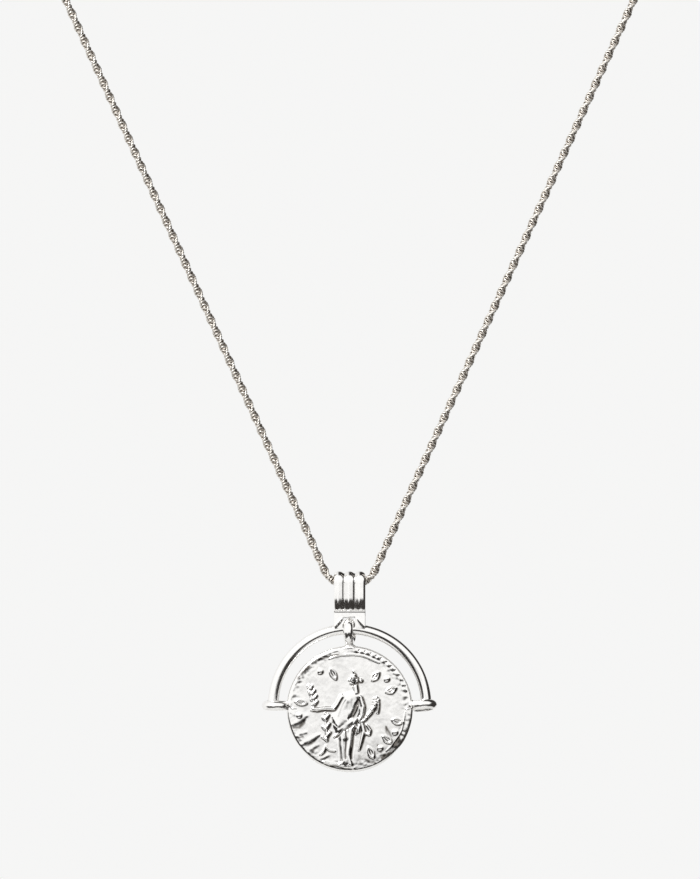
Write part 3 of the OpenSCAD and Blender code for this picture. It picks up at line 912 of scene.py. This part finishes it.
def chain_route(chain, arch):
    """The chain's points from its left end through the bail to its right end, from the bail."""
    rise = math.pi / 2 - chain.v_angle
    start_x = arch.ribs * arch.rib_w / 2 - chain.bend_inside
    turns = np.linspace(0, rise, 30)
    bend_x, bend_z = start_x + chain.bend_r * np.sin(turns), chain.bend_r * (1 - np.cos(turns))
    bend = np.stack([bend_x, 0 * turns, bend_z], axis=1)
    way = np.array([math.sin(chain.v_angle), 0, math.cos(chain.v_angle)])
    v_end = bend[-1] + way * (chain.v_height - bend[-1][2]) / way[2]
    straight = bend[-1] + (v_end - bend[-1]) * np.linspace(0, 1, 200)[1:, None]
    back = np.array([0, chain.neck_depth - chain.clasp_d / 2, chain.clasp_rise])
    end_x = chain.clasp_l / 2 - chain.socket_depth + SOCKET_GAP
    end = back + np.array([end_x, chain.clasp_d / 2, 0])
    near_end = end + np.array([chain.nape_reach, 0, 0])
    controls = [v_end, v_end + way * chain.side_reach, near_end, end]
    half = np.concatenate([bend, straight, bezier(controls, np.linspace(0, 1, 500)[1:])])
    return np.concatenate([half[::-1] * np.array([-1, 1, 1]), half])


def rope_frames(points, step):
    """Places at even steps along the route, with the way there and two sides that don't twist."""
    pieces = np.diff(points, axis=0)
    reach = np.concatenate([[0], np.cumsum(np.linalg.norm(pieces, axis=1))])
    count = int(reach[-1] / step)
    along = (np.arange(count) + 0.5) * step
    places, ahead, behind = (
        np.stack([np.interp(at, reach, points[:, k]) for k in range(3)], axis=1)
        for at in (along, along + step / 2, along - step / 2)
    )
    frames = []
    side = Vector((0, 0, 1))
    for place, tip in zip(places, ahead - behind):
        way = Vector(tip).normalized()
        side = (side - way * side.dot(way)).normalized()
        frames.append((Vector(place), way, side, way.cross(side)))
    return along, frames


def link_ring(chain):
    """One link of the rope: a small ring of round wire in its own XY plane, as a mesh."""
    bm = bmesh.new()
    wire_r = chain.ring_wire_d / 2
    middle = chain.ring_d / 2 - wire_r
    place = Matrix.Translation((middle, 0, 0)) @ Matrix.Rotation(math.pi / 2, 4, "X")
    bmesh.ops.create_circle(bm, cap_ends=False, segments=6, radius=wire_r, matrix=place)
    spun(bm, bm.verts[:] + bm.edges[:], (0, 0, 0), (0, 0, 1), math.tau, 12, whole=True)
    outwards(bm)
    mesh = bpy.data.meshes.new("link")
    bm.to_mesh(mesh)
    bm.free()
    return mesh


class PENDANT_OT_lay_chain(bpy.types.Operator):
    """Lay the rope chain's twisted links along its route."""

    bl_idname = "pendant.lay_chain"
    bl_label = "Lay the rope chain"

    def execute(self, context):
        scene = context.scene
        chain, look = scene.chain_sizes, scene.silver_look
        # The links of the two strands take turns, so they lie half a step apart
        along, frames = rope_frames(chain_route(chain, scene.arch_sizes), chain.ring_step / 2)
        link = link_ring(chain)
        # The chain's silver is darkened by painted shade between its links
        silver = darkened(metal("link_silver", look.link, look.link_polish), "depth", look.deep_shade)
        place = Matrix.Translation(hook(chain))
        names = ["rope_left", "rope_front", "rope_right"]
        third = math.ceil(len(frames) / len(names))
        for k, name in enumerate(names):
            bm = bmesh.new()
            centres = []
            for i in range(k * third, min((k + 1) * third, len(frames))):
                at, way, side, up = frames[i]
                turn = math.tau * along[i] / chain.pitch + math.pi * (i % 2)
                out = side * math.cos(turn) + up * math.sin(turn)
                about = way.cross(out)
                arc = way * math.cos(chain.ring_lean) + about * math.sin(chain.ring_lean)
                axes = Matrix((out, arc, out.cross(arc))).transposed()
                axes = axes @ Matrix.Rotation(chain.ring_turn, 3, "Y")
                put = Matrix.Translation(at + out * chain.ring_shift) @ axes.to_4x4()
                link.transform(put)
                bm.from_mesh(link)
                link.transform(put.inverted())
                centres.append(at)
            # Painted shade between the links: the wire is darker the nearer it lies to the rope's
            # axis
            points = np.array([v.co for v in bm.verts])
            axis = np.repeat(np.array(centres), len(link.vertices), axis=0)
            inside = 1 - np.linalg.norm(points - axis, axis=1) / (chain.chain_d / 2)
            bmesh.ops.recalc_face_normals(bm, faces=bm.faces)
            piece = finished(name, bm, place, "necklace", ["rope_chain"], silver)
            depth = np.clip((inside - LIT_DEPTH) / (DARK_DEPTH - LIT_DEPTH), 0, 1)
            point_field(piece.data, "depth", depth)
        bpy.data.meshes.remove(link)
        return {"FINISHED"}


class PENDANT_OT_turn_clasp(bpy.types.Operator):
    """Turn the barrel clasp behind the neck."""

    bl_idname = "pendant.turn_clasp"
    bl_label = "Turn the clasp"

    def execute(self, context):
        scene = context.scene
        chain, look = scene.chain_sizes, scene.silver_look
        half = chain.clasp_l / 2
        radius = chain.clasp_d / 2
        bore = chain.chain_d / 2 + SOCKET_GAP
        outline = [(half - chain.socket_depth, 0), (half - chain.socket_depth, bore), (half, bore)]
        for turn in np.radians(np.linspace(0, 90, 9)):
            along = half - CLASP_ROUND + CLASP_ROUND * math.cos(turn)
            outline.append((along, radius - CLASP_ROUND + CLASP_ROUND * math.sin(turn)))
        outline += [(-x, r) for x, r in reversed(outline)]
        bm = turned([(x, 0, r) for x, r in outline], (1, 0, 0), 64)
        silver = metal("clasp_silver", look.bright, look.polish)
        place = Matrix.Translation((0, radius, 0))
        finished("clasp_barrel", bm, place, "necklace", ["clasp"], silver)
        return {"FINISHED"}


# The studio

SENSOR = 36
FLOOR_Y = -50 * MM
PAPER = (0.86, 0.86, 0.85, 1)
PAPER_ROUGHNESS = 0.9
DARK = (0.035, 0.032, 0.03, 1)

# The key light's place from its target, which is this far below the chain in the bail, in metres
KEY_AT = Vector((-0.35, -0.5, 0.5))
KEY_DROP = Vector((0, 0, 0.015))
KEY_SIZE, KEY_POWER = 0.35, 4


def key_light(target):
    """A soft square light that looks at the pendant from the upper left."""
    data = bpy.data.lights.new("key", "AREA")
    data.shape = "SQUARE"
    data.size = KEY_SIZE
    data.energy = KEY_POWER
    light = bpy.data.objects.new("key", data)
    bpy.context.scene.collection.objects.link(light)
    light.location = target + KEY_AT
    light.rotation_euler = (-KEY_AT).to_track_quat("-Z", "Y").to_euler()


def calc(tree, operation, first, second):
    """A Math node's result. Each of its two values is a socket or a number."""
    node = tree.nodes.new("ShaderNodeMath")
    node.operation = operation
    for socket, value in zip(node.inputs, (first, second)):
        if isinstance(value, bpy.types.NodeSocket):
            tree.links.new(value, socket)
        else:
            socket.default_value = value
    return node.outputs["Value"]


def studio_world(look):
    """Light from all round. The silver mirrors a dark gap below the camera and dark corners to the
    right, between the softbox above and the white paper below and behind. The camera itself sees
    plain light. X, Y and Z are the direction that is mirrored, from -1 to 1."""
    world = bpy.data.worlds.new("studio")
    bpy.context.scene.world = world
    world.use_nodes = True
    tree = world.node_tree
    where = tree.nodes.new("ShaderNodeTexCoord")
    split = tree.nodes.new("ShaderNodeSeparateXYZ")
    tree.links.new(where.outputs["Generated"], split.inputs["Vector"])
    x, y, z = (split.outputs[axis] for axis in "XYZ")
    # The gap: it lies below one wavy brink and above another, and only in front
    left_rise = eased(tree, x, -0.65, -0.38, 0.15, 0)
    brink = calc(tree, "ADD", eased(tree, x, -0.35, 0, -0.24, -0.085), left_rise)
    above = calc(tree, "SUBTRACT", z, brink)
    below = calc(tree, "SUBTRACT", z, eased(tree, x, -0.35, 0, -0.8, -0.6))
    over_it = eased(tree, above, -0.055, 0.045, 0, 1)
    edges = calc(tree, "MAXIMUM", over_it, eased(tree, below, -0.08, 0.08, 1, 0))
    gap = calc(tree, "MAXIMUM", edges, eased(tree, y, -0.3, 0.2, 0, 1))
    # The corners: a rim of directions square to the camera's, on the right side
    near = calc(tree, "SUBTRACT", eased(tree, z, 0.05, 0.4, -0.5, -0.17), y)
    far = calc(tree, "SUBTRACT", y, eased(tree, z, -0.35, -0.1, 0.5, 0.67))
    off_rim = eased(tree, calc(tree, "MAXIMUM", near, far), 0, 0.18, 0, 1)
    right = calc(tree, "MULTIPLY", x, 0.9)
    side = calc(tree, "ADD", right, calc(tree, "MULTIPLY", z, 0.35))
    rim = calc(tree, "MAXIMUM", off_rim, eased(tree, side, 0.05, 0.35, 1, 0))
    light = calc(tree, "MULTIPLY", gap, rim)
    seen = tree.nodes.new("ShaderNodeLightPath").outputs["Is Camera Ray"]
    light = calc(tree, "MAXIMUM", light, seen)
    softbox = eased(tree, y, -0.3, 0.6, 1.18, 1)
    shade = tree.nodes.new("ShaderNodeMix")
    shade.data_type = "RGBA"
    shade.inputs["A"].default_value = DARK
    shade.inputs["B"].default_value = (*look.back, 1)
    tree.links.new(light, shade.inputs["Factor"])
    back = tree.nodes["Background"]
    tree.links.new(shade.outputs["Result"], back.inputs["Color"])
    tree.links.new(softbox, back.inputs["Strength"])


class PENDANT_OT_set_stage(bpy.types.Operator):
    """Set the floor, the studio light and the camera."""

    bl_idname = "pendant.set_stage"
    bl_label = "Set the stage"

    def execute(self, context):
        scene = context.scene
        look = scene.studio_look
        at = hook(scene.chain_sizes)
        camera = bpy.data.objects.new("camera", bpy.data.cameras.new("camera"))
        scene.collection.objects.link(camera)
        scene.camera = camera
        camera.data.sensor_width = SENSOR
        camera.data.lens = SENSOR * look.distance / look.view_h
        camera.location = at + Vector((look.view_x, -look.distance, look.view_z))
        camera.rotation_euler = (math.pi / 2, 0, 0)
        bm = bmesh.new()
        place = Matrix.Translation((0, FLOOR_Y, CAD_BOX[0].z - look.floor_drop))
        bmesh.ops.create_circle(bm, cap_ends=True, segments=96, radius=look.floor_r, matrix=place)
        floor = as_object("floor", bm)
        paper = bpy.data.materials.new("pale_paper")
        paper.use_nodes = True
        shader = paper.node_tree.nodes["Principled BSDF"]
        shader.inputs["Base Color"].default_value = PAPER
        shader.inputs["Roughness"].default_value = PAPER_ROUGHNESS
        floor.data.materials.append(paper)
        studio_world(look)
        scene.view_settings.view_transform = "Standard"
        key_light(at - KEY_DROP)
        return {"FINISHED"}


GROUPS = (
    ("coin_sizes", CoinSizes),
    ("arch_sizes", ArchSizes),
    ("chain_sizes", ChainSizes),
    ("silver_look", SilverLook),
    ("studio_look", StudioLook),
)
STEPS = (
    PENDANT_OT_set_stage,
    PENDANT_OT_lay_chain,
    PENDANT_OT_cast_coin,
    PENDANT_OT_solder_loops,
    PENDANT_OT_bend_arch,
    PENDANT_OT_turn_clasp,
)


class PENDANT_PT_panel(bpy.types.Panel):
    """The pendant's steps, in the 3D view's sidebar."""

    bl_idname = "PENDANT_PT_panel"
    bl_label = "Coin pendant"
    bl_space_type = "VIEW_3D"
    bl_region_type = "UI"
    bl_category = "Pendant"

    def draw(self, context):
        for step in STEPS:
            self.layout.operator(step.bl_idname)
        for name, group in GROUPS:
            box = self.layout.box()
            box.label(text=group.__doc__)
            for prop in group.__annotations__:
                box.prop(getattr(context.scene, name), prop)


def register():
    """Registers the sizes, the steps and the panel."""
    for name, group in GROUPS:
        bpy.utils.register_class(group)
        setattr(bpy.types.Scene, name, PointerProperty(type=group))
    for step in (*STEPS, PENDANT_PT_panel):
        bpy.utils.register_class(step)


def unregister():
    """Takes the panel, the steps and the sizes out again."""
    for step in reversed((*STEPS, PENDANT_PT_panel)):
        bpy.utils.unregister_class(step)
    for name, group in reversed(GROUPS):
        delattr(bpy.types.Scene, name)
        bpy.utils.unregister_class(group)


def main():
    """Registers the steps and builds every piece in order."""
    register()
    for step in STEPS:
        group, name = step.bl_idname.split(".")
        getattr(getattr(bpy.ops, group), name)()


if __name__ == "__main__":
    main()
